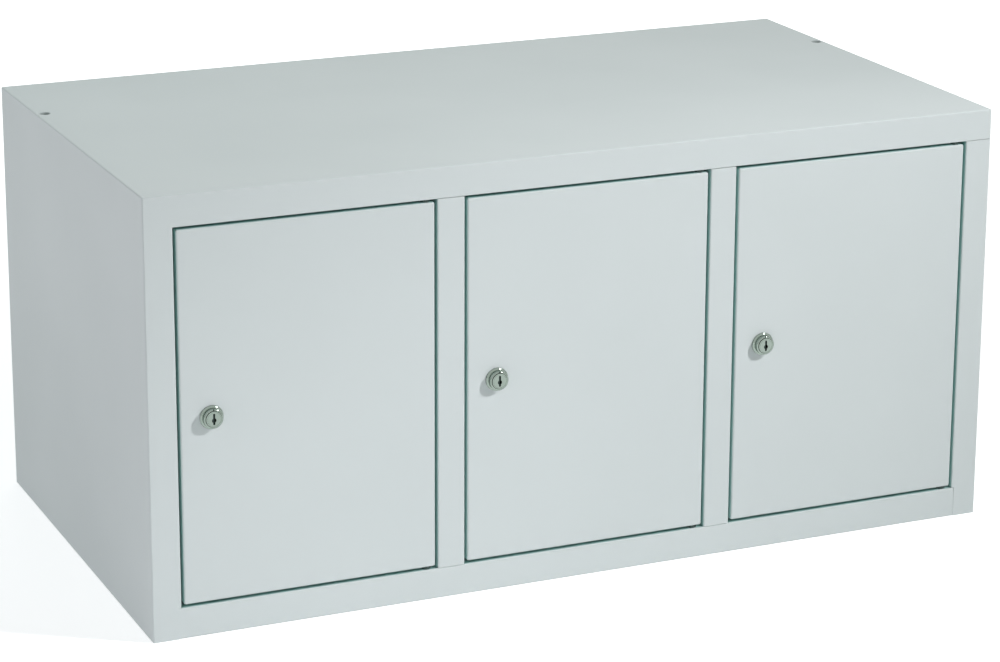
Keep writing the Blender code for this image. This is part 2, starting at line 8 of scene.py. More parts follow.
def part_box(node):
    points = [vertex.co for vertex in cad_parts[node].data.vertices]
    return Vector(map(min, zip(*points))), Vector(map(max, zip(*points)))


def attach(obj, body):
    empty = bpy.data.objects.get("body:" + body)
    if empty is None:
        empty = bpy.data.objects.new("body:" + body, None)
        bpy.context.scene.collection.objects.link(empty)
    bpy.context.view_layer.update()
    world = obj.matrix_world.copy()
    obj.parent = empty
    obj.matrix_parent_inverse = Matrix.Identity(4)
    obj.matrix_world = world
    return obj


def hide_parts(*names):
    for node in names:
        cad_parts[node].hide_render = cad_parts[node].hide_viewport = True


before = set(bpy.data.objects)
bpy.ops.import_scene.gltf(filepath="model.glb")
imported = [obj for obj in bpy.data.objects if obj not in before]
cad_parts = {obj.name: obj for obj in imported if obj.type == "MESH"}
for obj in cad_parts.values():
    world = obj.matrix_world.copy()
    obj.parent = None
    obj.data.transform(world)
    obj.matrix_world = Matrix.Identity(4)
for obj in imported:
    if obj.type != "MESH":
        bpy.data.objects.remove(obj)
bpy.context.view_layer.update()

mm = 0.001
touching = 1e-6  # places closer than this are the same
welded = 1e-7  # corners closer than this are merged
facing = 0.5  # a face looks along an axis when its normal has more than this of it
doorNames = ("left", "centre", "right")
caseLow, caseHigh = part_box("outer_wrap")
front = caseLow.y  # the plane of the doors and the front frame


# Small tools

def at(x, back, z):
    # a place by its distance behind the front plane
    return Vector((x, front + back, z))


def linear(hexCode):
    # sRGB hex to the linear colour that shaders take
    parts = [int(hexCode[i:i + 2], 16) / 255 for i in (0, 2, 4)]
    return tuple(c / 12.92 if c <= 0.04045 else ((c + 0.055) / 1.055) ** 2.4 for c in parts) + (1.0,)


def addNode(tree, kind, settings=None, links=None):
    # one node, with its settings (inputs by name, else properties) and what is plugged into it
    node = tree.nodes.new(kind)
    for name, value in (settings or {}).items():
        if name in node.inputs:
            node.inputs[name].default_value = value
        else:
            setattr(node, name, value)
    for name, source in (links or {}).items():
        tree.links.new(source, node.inputs[name])
    return node


def newMaterial(name):
    material = bpy.data.materials.new(name)
    material.use_nodes = True
    material.node_tree.nodes.clear()
    return material, material.node_tree


# Camera, fitted to corners of the case and of the door gaps in the photograph

cameraView = {
    "fromCorner": (-867.5 * mm, -2823.2 * mm, 1240.9 * mm),  # from the case's left front foot
    "azimuth": radians(-23.62),
    "elevation": radians(15.64),
    "roll": radians(0.22),
    "focalPixels": 3239,
    "imageWidth": 1000,
    "imageHeight": 662,
    "horizonRow": 231,  # the image row of the optical axis
    "sensor": 36,  # in millimetres, as Blender takes it
}


def makeCamera():
    v = cameraView
    az, el, roll = v["azimuth"], v["elevation"], v["roll"]
    forward = Vector((-sin(az) * cos(el), cos(az) * cos(el), -sin(el)))
    right = forward.cross(Vector((0, 0, 1))).normalized()
    up = right.cross(forward)
    x = right * cos(roll) + up * sin(roll)
    y = up * cos(roll) - right * sin(roll)
    camera = bpy.data.objects.new("camera", bpy.data.cameras.new("camera"))
    bpy.context.scene.collection.objects.link(camera)
    place = caseLow + Vector(v["fromCorner"])
    camera.matrix_world = Matrix.Translation(place) @ Matrix((x, y, -forward)).transposed().to_4x4()
    camera.data.sensor_width = v["sensor"]
    camera.data.lens = v["focalPixels"] * v["sensor"] / v["imageWidth"]
    camera.data.shift_y = (v["horizonRow"] - v["imageHeight"] / 2) / v["imageWidth"]
    bpy.context.scene.camera = camera


makeCamera()


# Studio

studio = {
    "ambient": (0.264, 0.281, 0.278),
    "floorSize": 30.0,
    "floorColour": linear("e4e6e6"),
    # how much of the floor's white is its own, where the camera looks at it: less near the locker,
    # where the lamps reach and its shadow has to show, and more far off, where they don't
    "glowNear": 0.58, "glowFar": 0.80,
    "nearRadius": 0.6, "farRadius": 1.8,
}
lamps = {
    "key": {"place": (1.25, -1.35, 1.45), "aim": (-0.3, -0.25, 0.2), "power": 8.1, "size": 0.16,
            "spread": 90, "colour": (1.0, 0.93, 0.97), "mirrored": False},
    # the only lamp seen in reflections, weak so that it lights the locks and never bleaches the enamel;
    # it stands just before the key, since a ray that passes the key would miss a lamp at the same place
    "glint": {"place": (1.23, -1.335, 1.435), "aim": (-0.3, -0.25, 0.2), "power": 0.6, "size": 0.16,
              "spread": 90, "colour": (1.0, 1.0, 1.0), "mirrored": True},
    "lowLeft": {"place": (-0.9, -2.0, 0.15), "aim": (-0.28, -0.25, 0.05), "power": 0.76, "size": 0.5,
                "spread": 50, "colour": (1.0, 0.94, 1.0), "mirrored": False},
    "side": {"place": (-3.0, -0.4, 0.5), "aim": (-0.46, 0.0, 0.2), "power": 18.2, "size": 2.2,
             "spread": 180, "colour": (1.0, 0.82, 0.95), "mirrored": False},
    "top": {"place": (0.3, 0.3, 2.4), "aim": (0.1, 0.0, 0.45), "power": 2.0, "size": 1.6,
            "spread": 180, "colour": (0.97, 1.0, 1.0), "mirrored": False},
    "topLeft": {"place": (-1.2, 0.9, 1.8), "aim": (-0.3, 0.1, 0.45), "power": 5.0, "size": 1.2,
                "spread": 180, "colour": (0.84, 0.98, 1.0), "mirrored": False},
    "rear": {"place": (0.9, 3.0, 1.1), "aim": (0.0, 0.2, 0.2), "power": 24, "size": 2.0,
             "spread": 180, "colour": (1.0, 1.0, 1.0), "mirrored": False},
}


def seenDirectly(tree):
    # 1 where the camera, a reflection or a refraction looks, 0 where light is gathered
    path = addNode(tree, "ShaderNodeLightPath")
    either = addNode(tree, "ShaderNodeMath", {"operation": "MAXIMUM"})
    tree.links.new(path.outputs["Is Camera Ray"], either.inputs[0])
    tree.links.new(path.outputs["Is Glossy Ray"], either.inputs[1])
    anyOfThem = addNode(tree, "ShaderNodeMath", {"operation": "MAXIMUM"})
    tree.links.new(either.outputs[0], anyOfThem.inputs[0])
    tree.links.new(path.outputs["Is Transmission Ray"], anyOfThem.inputs[1])
    return anyOfThem.outputs[0]


def makeWorld():
    world = bpy.data.worlds.new("studioWhite")
    bpy.context.scene.world = world
    world.use_nodes = True
    tree = world.node_tree
    tree.nodes.clear()
    gathered = addNode(tree, "ShaderNodeBackground", {"Color": studio["ambient"] + (1.0,), "Strength": 1.0})
    seen = addNode(tree, "ShaderNodeBackground", {"Color": (1.0, 1.0, 1.0, 1.0), "Strength": 1.0})
    mix = addNode(tree, "ShaderNodeMixShader", links={"Fac": seenDirectly(tree)})
    tree.links.new(gathered.outputs[0], mix.inputs[1])
    tree.links.new(seen.outputs[0], mix.inputs[2])
    addNode(tree, "ShaderNodeOutputWorld", links={"Surface": mix.outputs[0]})


def makeFloor():
    # a white floor that is bright by itself to the camera but still takes the locker's shadow
    bm = bmesh.new()
    bmesh.ops.create_grid(bm, x_segments=1, y_segments=1, size=studio["floorSize"] / 2)
    mesh = bpy.data.meshes.new("studioFloor")
    bm.to_mesh(mesh)
    bm.free()
    floor = bpy.data.objects.new("studioFloor", mesh)
    bpy.context.scene.collection.objects.link(floor)
    material, tree = newMaterial("paintedStudioFloor")
    matt = addNode(tree, "ShaderNodeBsdfDiffuse", {"Color": studio["floorColour"]})
    place = addNode(tree, "ShaderNodeTexCoord").outputs["Object"]
    distance = addNode(tree, "ShaderNodeVectorMath", {"operation": "LENGTH"})
    tree.links.new(place, distance.inputs[0])
    level = addNode(
        tree, "ShaderNodeMapRange",
        {"interpolation_type": "SMOOTHSTEP",
         "From Min": studio["nearRadius"], "From Max": studio["farRadius"],
         "To Min": studio["glowNear"], "To Max": studio["glowFar"]},
        {"Value": distance.outputs["Value"]},
    )
    glow = addNode(
        tree, "ShaderNodeEmission", {"Color": (1.0, 1.0, 1.0, 1.0)}, {"Strength": level.outputs["Result"]}
    )
    nothing = addNode(tree, "ShaderNodeEmission", {"Strength": 0.0})
    onlySeen = addNode(tree, "ShaderNodeMixShader", links={"Fac": seenDirectly(tree)})
    tree.links.new(nothing.outputs[0], onlySeen.inputs[1])
    tree.links.new(glow.outputs[0], onlySeen.inputs[2])
    both = addNode(tree, "ShaderNodeAddShader")
    tree.links.new(matt.outputs[0], both.inputs[0])
    tree.links.new(onlySeen.outputs[0], both.inputs[1])
    addNode(tree, "ShaderNodeOutputMaterial", links={"Surface": both.outputs[0]})
    mesh.materials.append(material)


def makeLamp(name, settings):
    data = bpy.data.lights.new(name, "AREA")
    data.shape = "DISK"
    data.size = settings["size"]
    data.energy = settings["power"]
    data.color = settings["colour"]
    data.spread = radians(settings["spread"])
    lamp = bpy.data.objects.new(name, data)
    lamp.visible_glossy = settings["mirrored"]
    bpy.context.scene.collection.objects.link(lamp)
    lamp.location = settings["place"]
    lamp.rotation_mode = "QUATERNION"
    aim = Vector(settings["aim"]) - lamp.location
    lamp.rotation_quaternion = aim.to_track_quat("-Z", "Y")


makeWorld()
makeFloor()
for lampName, lampSettings in lamps.items():
    makeLamp(lampName + "Lamp", lampSettings)
bpy.context.scene.view_settings.view_transform = "Standard"
print("studio ready")


# Finishes

# Stoved enamel on steel: pale grey with a little green, satin, over the faint ripple of rolled sheet
enamel = {
    "colour": linear("cbd6d4"),
    "shade": linear("c6d1cf"),  # where the coat lies a little thicker
    "gapShade": linear("a2ccc6"),  # painted shade: a darker, greener colour on the faces inside the gaps round the doors, where the shade falls
    "gapShadeFrom": 0.6 * mm,  # behind the front plane, as are the next three
    "gapShadeFull": 2.5 * mm,
    "gapShadeFades": 7 * mm,
    "gapShadeTo": 15 * mm,
    "patch": 160 * mm,
    "roughness": 0.45,
    "roughnessSpread": 0.05,
    "peelGrain": 2.5 * mm,  # real orange peel is near 1 mm, drawn coarser so that it shows
    "peelDepth": 0.004 * mm,
    "ripple": 140 * mm,
    "rippleDepth": 0.05 * mm,
}


# folds says whether the enamel carries painted shade in the gaps round the doors
def makeEnamel(name, folds):
    m = enamel
    material, tree = newMaterial(name)
    place = addNode(tree, "ShaderNodeTexCoord").outputs["Object"]
    patches = addNode(
        tree, "ShaderNodeTexNoise", {"Scale": 1 / m["patch"], "Detail": 3.0, "Roughness": 0.5},
        {"Vector": place},
    )
    tint = addNode(tree, "ShaderNodeMix", {"data_type": "RGBA"})
    tint.inputs[6].default_value = m["colour"]
    tint.inputs[7].default_value = m["shade"]
    tree.links.new(patches.outputs["Fac"], tint.inputs[0])
    colour = tint.outputs[2]
    if folds:
        # painted shade: the darker gap colour fades in behind the front plane and out again before the stop
        # lips
        depth = addNode(tree, "ShaderNodeSeparateXYZ", links={"Vector": place}).outputs["Y"]
        share = addNode(
            tree, "ShaderNodeMapRange", {"From Min": front, "From Max": front + m["gapShadeTo"]},
            {"Value": depth},
        )
        fade = addNode(tree, "ShaderNodeValToRGB", links={"Fac": share.outputs[0]})
        stops = fade.color_ramp.elements
        stops[0].position, stops[0].color = m["gapShadeFrom"] / m["gapShadeTo"], (0, 0, 0, 1)
        stops[1].position, stops[1].color = 1.0, (0, 0, 0, 1)
        for back in (m["gapShadeFull"], m["gapShadeFades"]):
            stops.new(back / m["gapShadeTo"]).color = (1, 1, 1, 1)
        shadedInGaps = addNode(tree, "ShaderNodeMix", {"data_type": "RGBA"})
        shadedInGaps.inputs[7].default_value = m["gapShade"]
        tree.links.new(colour, shadedInGaps.inputs[6])
        tree.links.new(fade.outputs[0], shadedInGaps.inputs[0])
        colour = shadedInGaps.outputs[2]
    gloss = addNode(
        tree, "ShaderNodeMapRange",
        {"To Min": m["roughness"] - m["roughnessSpread"], "To Max": m["roughness"] + m["roughnessSpread"]},
        {"Value": patches.outputs["Fac"]},
    )
    ripple = addNode(
        tree, "ShaderNodeTexNoise", {"Scale": 1 / m["ripple"], "Detail": 0.0}, {"Vector": place}
    )
    wave = addNode(
        tree, "ShaderNodeBump", {"Strength": 1.0, "Distance": m["rippleDepth"]},
        {"Height": ripple.outputs["Fac"]},
    )
    peel = addNode(
        tree, "ShaderNodeTexNoise", {"Scale": 1 / m["peelGrain"], "Detail": 1.0}, {"Vector": place}
    )
    skin = addNode(
        tree, "ShaderNodeBump", {"Strength": 1.0, "Distance": m["peelDepth"]},
        {"Height": peel.outputs["Fac"], "Normal": wave.outputs[0]},
    )
    shader = addNode(
        tree, "ShaderNodeBsdfPrincipled", {"Metallic": 0.0, "IOR": 1.5},
        {"Base Color": colour, "Roughness": gloss.outputs[0], "Normal": skin.outputs[0]},
    )
    addNode(tree, "ShaderNodeOutputMaterial", links={"Surface": shader.outputs[0]})
    return material


# Metals: plating over a turned or pressed part, with the fine marks of the tool under it
nickel = {"name": "nickelPlatedTurnedBrass", "colour": linear("93a097"), "roughness": 0.13, "spread": 0.06,
          "grain": 0.7 * mm, "depth": 0.006 * mm}
zinc = {"name": "zincPlatedPressedSteel", "colour": linear("a7abaa"), "roughness": 0.36, "spread": 0.14,
        "grain": 2.2 * mm, "depth": 0.010 * mm}
# Plastics and rubber: moulded, so even, with the sparked grain of the mould
nylon = {"name": "mouldedBlackNylon", "colour": linear("2b403c"), "roughness": 0.48, "spread": 0.08,
         "grain": 0.5 * mm, "depth": 0.010 * mm}
rubber = {"name": "mouldedBlackRubber", "colour": linear("1e1f20"), "roughness": 0.78, "spread": 0.08,
          "grain": 0.4 * mm, "depth": 0.015 * mm}
plastic = {"name": "mouldedGreyPolythene", "colour": linear("a9b3b1"), "roughness": 0.50, "spread": 0.06,
           "grain": 0.6 * mm, "depth": 0.008 * mm}
grainShade = {"darkest": 0.88, "lightest": 1.08}  # how far the grain darkens and lightens each colour


def makeGrained(m, metallic):
    material, tree = newMaterial(m["name"])
    place = addNode(tree, "ShaderNodeTexCoord").outputs["Object"]
    grain = addNode(
        tree, "ShaderNodeTexNoise", {"Scale": 1 / m["grain"], "Detail": 3.0, "Roughness": 0.6},
        {"Vector": place},
    )
    worn = addNode(tree, "ShaderNodeHueSaturation", {"Color": m["colour"]})
    value = addNode(
        tree, "ShaderNodeMapRange", {"To Min": grainShade["darkest"], "To Max": grainShade["lightest"]},
        {"Value": grain.outputs["Fac"]},
    )
    tree.links.new(value.outputs[0], worn.inputs["Value"])
    gloss = addNode(
        tree, "ShaderNodeMapRange",
        {"To Min": m["roughness"] - m["spread"] / 2, "To Max": m["roughness"] + m["spread"] / 2},
        {"Value": grain.outputs["Fac"]},
    )
    relief = addNode(
        tree, "ShaderNodeBump", {"Strength": 1.0, "Distance": m["depth"]}, {"Height": grain.outputs["Fac"]}
    )
    shader = addNode(
        tree, "ShaderNodeBsdfPrincipled", {"Metallic": metallic},
        {"Base Color": worn.outputs[0], "Roughness": gloss.outputs[0], "Normal": relief.outputs[0]},
    )
    addNode(tree, "ShaderNodeOutputMaterial", links={"Surface": shader.outputs[0]})
    return material


finishes = {
    "paint": makeEnamel("stovedEnamelOnSteel", False),
    "nickel": makeGrained(nickel, 1.0),
    "zinc": makeGrained(zinc, 1.0),
    "nylon": makeGrained(nylon, 0.0),
    "rubber": makeGrained(rubber, 0.0),
    "grey_plastic": makeGrained(plastic, 0.0),
}
# the same enamel with painted shade in the gaps round the doors
gapShadedEnamel = makeEnamel("stovedEnamelWithPaintedGapShade", True)
print("finishes mixed:", len(finishes) + 1)


# Sheet metal

sheet = {
    "thickness": 1.0 * mm,
    "bend": 1.5 * mm,  # outer radius
    "railBend": 0.7 * mm,  # the same under the top rail, which the posts meet
    "lipBend": 1.2 * mm,  # and at the root of the first stop lip
    "panBend": 2.0 * mm,  # and round the doors' own edges
    "bendSteps": 8,
    "foldAngle": radians(50),
    "smoothAngle": radians(32),
    "edge": 0.3 * mm,  # how far a flat plate's edges are eased
    "edgeSteps": 3,
    "edgeAngle": radians(60),
    "clear": 0.3 * mm,
    "overrun": 5 * mm,  # how far a cutter passes what it cuts
}
# how many sides a round piece or hole has, by its size and by how closely it is seen
rounds = {"tiny": 24, "small": 32, "fitting": 40, "middle": 48, "cup": 64, "lock": 96}


def blockMesh(low, high):
    bm = bmesh.new()
    bmesh.ops.create_cube(bm, size=1)
    bmesh.ops.scale(bm, vec=high - low, verts=bm.verts)
    bmesh.ops.translate(bm, vec=(low + high) / 2, verts=bm.verts)
    return bm


def newPiece(name, bm):
    mesh = bpy.data.meshes.new(name)
    bm.to_mesh(mesh)
    bm.free()
    piece = bpy.data.objects.new(name, mesh)
    bpy.context.scene.collection.objects.link(piece)
    return piece


def foldSheet(name, bm, bend=None, bendOf=None):
    # rounds the folds of an open surface, then gives it the sheet's thickness behind;
    # bendOf gives an edge a bend of its own by its middle
    width = bend or sheet["bend"]
    weights = bm.edges.layers.float.new("bevel_weight_edge")
    for edge in bm.edges:
        if len(edge.link_faces) == 2 and edge.calc_face_angle() > sheet["foldAngle"]:
            a, b = edge.verts
            own = bendOf((a.co + b.co) / 2) if bendOf else width
            edge[weights] = own / width
    piece = newPiece(name, bm)
    bevel = piece.modifiers.new("folds", "BEVEL")
    bevel.width = width
    bevel.segments = sheet["bendSteps"]
    bevel.limit_method = "WEIGHT"
    bevel.use_clamp_overlap = False
    solid = piece.modifiers.new("sheet", "SOLIDIFY")
    solid.thickness = sheet["thickness"]
    solid.offset = -1
    solid.use_even_offset = True
    return piece


def rodCutter(start, end, radius, steps):
    bm = bmesh.new()
    along = end - start
    bmesh.ops.create_cone(
        bm, cap_ends=True, segments=steps, radius1=radius, radius2=radius, depth=along.length
    )
    bmesh.ops.rotate(
        bm, matrix=Vector((0, 0, 1)).rotation_difference(along).to_matrix(), verts=bm.verts
    )
    bmesh.ops.translate(bm, vec=(start + end) / 2, verts=bm.verts)
    return newPiece("cutter", bm)


def uprightCutter(place, low, high, radius, steps):
    # a rod that stands upright at a place
    return rodCutter(Vector((place.x, place.y, low)), Vector((place.x, place.y, high)), radius, steps)


def boreCutter(axis, z, ahead, deep, radius, steps):
    # a rod that lies along a lock's axis, or z above it, between two distances behind the front
    return rodCutter(axis + Vector((0, ahead, z)), axis + Vector((0, deep, z)), radius, steps)


def boxCutter(low, high):
    return newPiece("cutter", blockMesh(low, high))


def settle(piece, cutters=(), operation="DIFFERENCE"):
    # applies the modifiers and cuts, removes the cutters, and shades flats flat and bends smooth
    for tool in cutters:
        cut = piece.modifiers.new("cut", "BOOLEAN")
        cut.operation = operation
        cut.solver = "EXACT"
        cut.object = tool
    graph = bpy.context.evaluated_depsgraph_get()
    graph.update()
    mesh = bpy.data.meshes.new_from_object(piece.evaluated_get(graph))
    piece.modifiers.clear()
    piece.data = mesh
    for tool in cutters:
        bpy.data.objects.remove(tool, do_unlink=True)
    mesh.shade_smooth()
    mesh.set_sharp_from_angle(angle=sheet["smoothAngle"])
    weighted = piece.modifiers.new("evenShading", "WEIGHTED_NORMAL")
    weighted.keep_sharp = True
    return piece


def dress(piece, finish, body, *nodes):
    piece.data.materials.clear()
    piece.data.materials.append(finishes[finish])
    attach(piece, body)
    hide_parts(*nodes)
    return piece


def paintGapShade(piece, test):
    # gives the painted gap shade to the faces that stand round a door
    piece.data.materials.append(gapShadedEnamel)
    for face in piece.data.polygons:
        if test(face.center, face.normal):
            face.material_index = 1


def sliceAt(bm, place, normal):
    everything = bm.verts[:] + bm.edges[:] + bm.faces[:]
    bmesh.ops.bisect_plane(bm, geom=everything, plane_co=place, plane_no=normal, dist=welded)


def dropFaces(bm, test):
    gone = [f for f in bm.faces if test(f.calc_center_median(), f.normal)]
    bmesh.ops.delete(bm, geom=gone, context="FACES")


def folded(name, outline, low, high, bend=None):
    # an upright folded strip whose plan runs through the outline, sheet to the left of it
    bm = bmesh.new()
    verts = [bm.verts.new((x, front + back, low)) for x, back in outline]
    edges = [bm.edges.new(pair) for pair in zip(verts, verts[1:])]
    grown = bmesh.ops.extrude_edge_only(bm, edges=edges)["geom"]
    top = [g for g in grown if isinstance(g, bmesh.types.BMVert)]
    bmesh.ops.translate(bm, vec=(0, 0, high - low), verts=top)
    bm.normal_update()
    first = edges[0].link_faces[0]
    if first.normal.dot((verts[1].co - verts[0].co).cross(Vector((0, 0, 1)))) < 0:
        bmesh.ops.reverse_faces(bm, faces=bm.faces)
    return foldSheet(name, bm, bend)


# The front's layout, read from the frame
doorBoxes = {n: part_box(n + "_door_panel") for n in doorNames}
postBoxes = {n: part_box(n + "_post") for n in ("left", "right")}
lockAxes = {n: sum(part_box(n + "_lock_housing"), Vector()) / 2 for n in doorNames}
gap = postBoxes["left"][0].x - doorBoxes["left"][1].x
openLow = doorBoxes["left"][0].z - gap
openHigh = doorBoxes["left"][1].z + gap
openHalf = doorBoxes["right"][1].x + gap
openLeft = {n: doorBoxes[n][0].x - gap for n in doorNames}
openRight = {n: doorBoxes[n][1].x + gap for n in doorNames}
stopBack = postBoxes["left"][1].y - front
stopFace = stopBack - sheet["thickness"]
stopWidth = postBoxes["left"][1].x - openLeft["centre"]
doorDepth = doorBoxes["left"][1].y - front
pivot = {n: sum(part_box(n + "_upper_pivot_pin"), Vector()) / 2 for n in doorNames}
bufferHeight = {
    level: (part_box(f"left_{level}_buffer")[0].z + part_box(f"left_{level}_buffer")[1].z) / 2
    for level in ("lower", "upper")
}

wrap = {
    "rearFlange": 15 * mm,
    "footOverlap": 3 * mm,  # how far the bottom rail runs past the opening
    "holeRadius": 6 * mm,
    "seam": 0.45 * mm,
    "seamEnd": sheet["bend"],  # how far before the case's side the seam stops
    "pinHole": 2.3 * mm,
    "bufferHole": 2.0 * mm,
}


def bufferHoles(name):
    x = openLeft[name] + stopWidth / 2
    t = sheet["thickness"]
    return [
        rodCutter(at(x, stopFace - t, z), at(x, stopBack + t, z), wrap["bufferHole"], rounds["tiny"])
        for z in bufferHeight.values()
    ]


def makeWrap():
    # sides and top in one sheet, with stiles, top rail, jambs and rear flanges folded from it
    t, run = sheet["thickness"], sheet["overrun"]
    footHigh = openLow + sheet["clear"]
    footHalf = openHalf + wrap["footOverlap"]
    rearHalf = caseHigh.x - wrap["rearFlange"]
    rearHigh = caseHigh.z - wrap["rearFlange"]
    bm = blockMesh(caseLow, caseHigh)
    for x in (-footHalf, -openHalf, openHalf, footHalf, -rearHalf, rearHalf):
        sliceAt(bm, (x, 0, 0), (1, 0, 0))
    for z in (footHigh, openHigh, rearHigh):
        sliceAt(bm, (0, 0, z), (0, 0, 1))
    dropFaces(bm, lambda c, n: n.z < -facing)
    dropFaces(bm, lambda c, n: n.y < -facing and abs(c.x) < openHalf and c.z < openHigh)
    dropFaces(bm, lambda c, n: n.y < -facing and abs(c.x) < footHalf and c.z < footHigh)
    dropFaces(bm, lambda c, n: n.y > facing and abs(c.x) < rearHalf and c.z < rearHigh)

    def onWindow(edge):
        a, b = edge.verts
        c = (a.co + b.co) / 2
        if not edge.is_boundary or abs(c.y - front) > touching or c.z < footHigh + touching:
            return False
        onSide = abs(abs(c.x) - openHalf) < touching
        return onSide or (abs(c.z - openHigh) < touching and abs(c.x) < openHalf)

    window = [e for e in bm.edges if onWindow(e)]
    grown = bmesh.ops.extrude_edge_only(bm, edges=window)["geom"]
    moved = [g for g in grown if isinstance(g, bmesh.types.BMVert)]
    bmesh.ops.translate(bm, vec=(0, stopFace, 0), verts=moved)
    bmesh.ops.recalc_face_normals(bm, faces=bm.faces)
    if max(bm.faces, key=lambda f: f.calc_center_median().z).normal.z < 0:
        bmesh.ops.reverse_faces(bm, faces=bm.faces)

    def bendOf(c):
        onRail = abs(c.z - openHigh) < touching and abs(c.x) <= openHalf + touching
        return sheet["railBend"] if onRail and abs(c.y - front) <= touching else sheet["bend"]

    shell = foldSheet("outerWrapShell", bm, bendOf=bendOf)

    # the hairline joint where the right stile meets the top rail; the left one is filled and can't be seen
    seam = wrap["seam"] / 2
    cutters = [boxCutter(
        at(openHalf - t, -run, openHigh - seam),
        at(caseHigh.x - wrap["seamEnd"], t + sheet["clear"], openHigh + seam),
    )]
    for side in ("left", "right"):
        hole = sum(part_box(side + "_top_plug"), Vector()) / 2
        cutters.append(uprightCutter(
            hole, caseHigh.z - run, caseHigh.z + run, wrap["holeRadius"], rounds["cup"]
        ))
    for name in doorNames:
        cutters.append(uprightCutter(
            pivot[name], openHigh - t, openHigh + 3 * t, wrap["pinHole"], rounds["tiny"]
        ))
    settle(shell, cutters)
    dress(shell, "paint", "case", "outer_wrap")
    inside = t + sheet["clear"]
    # painted shade on the jambs and the faces round the door openings
    paintGapShade(shell, lambda c, n: (
        abs(c.x) < openHalf + inside and c.z < openHigh + inside and c.y < front + doorDepth * 2
    ))

    # the stop lip of the first door, folded on behind the left jamb
    root = -openHalf - t - sheet["clear"]
    outline = [(root, stopFace - 2 * t), (root, stopFace), (-openHalf + stopWidth, stopFace)]
    lip = folded("leftStopLip", outline, footHigh, openHigh - sheet["clear"], sheet["lipBend"])
    settle(lip, bufferHoles("left"))
    dress(lip, "paint", "case", "outer_wrap")
    paintGapShade(lip, lambda c, n: True)
    print("wrap folded")


makeWrap()


bottom = {
    "foot": 15 * mm,
    "upward": 0.3,  # a face whose normal rises more than this has the painted gap shade
}


def openPan(low, high, way, returned=0):
    # a folded box, open one way, with its edges turned in there
    bm = blockMesh(low, high)
    mouth = max(bm.faces, key=lambda f: f.normal.dot(Vector(way)))
    if returned:
        bmesh.ops.inset_individual(bm, faces=[mouth], thickness=returned)
    bmesh.ops.delete(bm, geom=[mouth], context="FACES")
    return bm


def makeBottom():
    low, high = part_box("bottom_panel")
    t, clear, run = sheet["thickness"], sheet["clear"], sheet["overrun"]
    panel = foldSheet("bottomPanelShell", openPan(low, high, (0, 0, -1), bottom["foot"]))
    railHalf = openHalf + wrap["footOverlap"]
    # the rail shows a joint at its right end; the left one is filled and can't be seen
    cutters = [
        boxCutter(at(low.x - run, -run, -run), at(-railHalf, t + clear, high.z + run)),
        boxCutter(at(railHalf - clear, -run, -run), at(high.x + run, t + clear, high.z + run)),
    ]
    for name in doorNames:
        cutters.append(uprightCutter(
            pivot[name], high.z - 2 * t, high.z + t, wrap["pinHole"], rounds["tiny"]
        ))
    settle(panel, cutters)
    dress(panel, "paint", "case", "bottom_panel")
    paintGapShade(panel, lambda c, n: n.z > bottom["upward"])


def makeRear():
    low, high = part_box("rear_panel")
    panel = newPiece("rearPanelShell", blockMesh(low, high))
    bevel = panel.modifiers.new("edges", "BEVEL")
    bevel.width = sheet["edge"]
    bevel.segments = sheet["edgeSteps"]
    dress(settle(panel), "paint", "case", "rear_panel")


def makePartitions():
    run, clear = sheet["overrun"], sheet["clear"]
    for name in ("left", "right"):
        low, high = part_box(name + "_partition")
        wall = foldSheet(name + "PartitionShell", openPan(low, high, (1, 0, 0)))
        notch = boxCutter(
            at(low.x - run, -run, openHigh - clear), at(high.x + run, stopBack + clear, caseHigh.z)
        )
        dress(settle(wall, [notch]), "paint", "case", name + "_partition")


def makePosts():
    # channels between the doors, each carrying the stop lip of the door to its right
    for name, before, after in (("left", "left", "centre"), ("right", "centre", "right")):
        low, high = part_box(name + "_post")
        left, right = openRight[before], openLeft[after]
        outline = [
            (left, stopBack), (left, 0), (right, 0), (right, stopFace), (right + stopWidth, stopFace),
        ]
        post = folded(name + "PostShell", outline, low.z, high.z)
        dress(settle(post, bufferHoles(after)), "paint", "case", name + "_post")
        paintGapShade(post, lambda c, n: True)


makeBottom()
makeRear()
makePartitions()
makePosts()
print("case folded")


door = {
    "returned": 12 * mm,
    "bushHole": 3.8 * mm,
    "lockHole": 9.3 * mm,
    "hatWidth": 40 * mm,
    "hatDepth": 10 * mm,
    "hatBrim": 12 * mm,
    "skin": 0.4 * mm,  # the painted gap shade reaches this far into the front from the pan's edges
}


def makeDoor(name):
    low, high = doorBoxes[name]
    t, run = sheet["thickness"], sheet["overrun"]
    pan = openPan(low, high, (0, 1, 0), door["returned"])
    panel = foldSheet(name + "DoorShell", pan, sheet["panBend"])
    axis = lockAxes[name]
    cutters = [
        rodCutter(at(axis.x, -run, axis.z), at(axis.x, run, axis.z), door["lockHole"], rounds["middle"])
    ]
    for z in (low.z, high.z):
        cutters.append(uprightCutter(pivot[name], z - run, z + run, door["bushHole"], rounds["small"]))
    settle(panel, cutters)
    dress(panel, "paint", name + "_door", name + "_door_panel")
    paintGapShade(panel, lambda f, n: min(f.x - low.x, high.x - f.x, f.z - low.z, high.z - f.z) < door["skin"])

    # the stiffener, a hat profile down the middle of the door
    middle = (low.x + high.x) / 2
    near, half = t + sheet["clear"], door["hatWidth"] / 2
    far, brim = near + door["hatDepth"], door["hatBrim"]
    outline = [
        (middle - half - brim, near), (middle - half, near), (middle - half, far),
        (middle + half, far), (middle + half, near), (middle + half + brim, near),
    ]
    hatLow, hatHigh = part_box(name + "_door_stiffener")
    hat = folded(name + "StiffenerShell", outline, hatLow.z, hatHigh.z)
    dress(settle(hat), "paint", name + "_door", name + "_door_stiffener")


for doorName in doorNames:
    makeDoor(doorName)
print("doors folded")


# Turned and moulded pieces

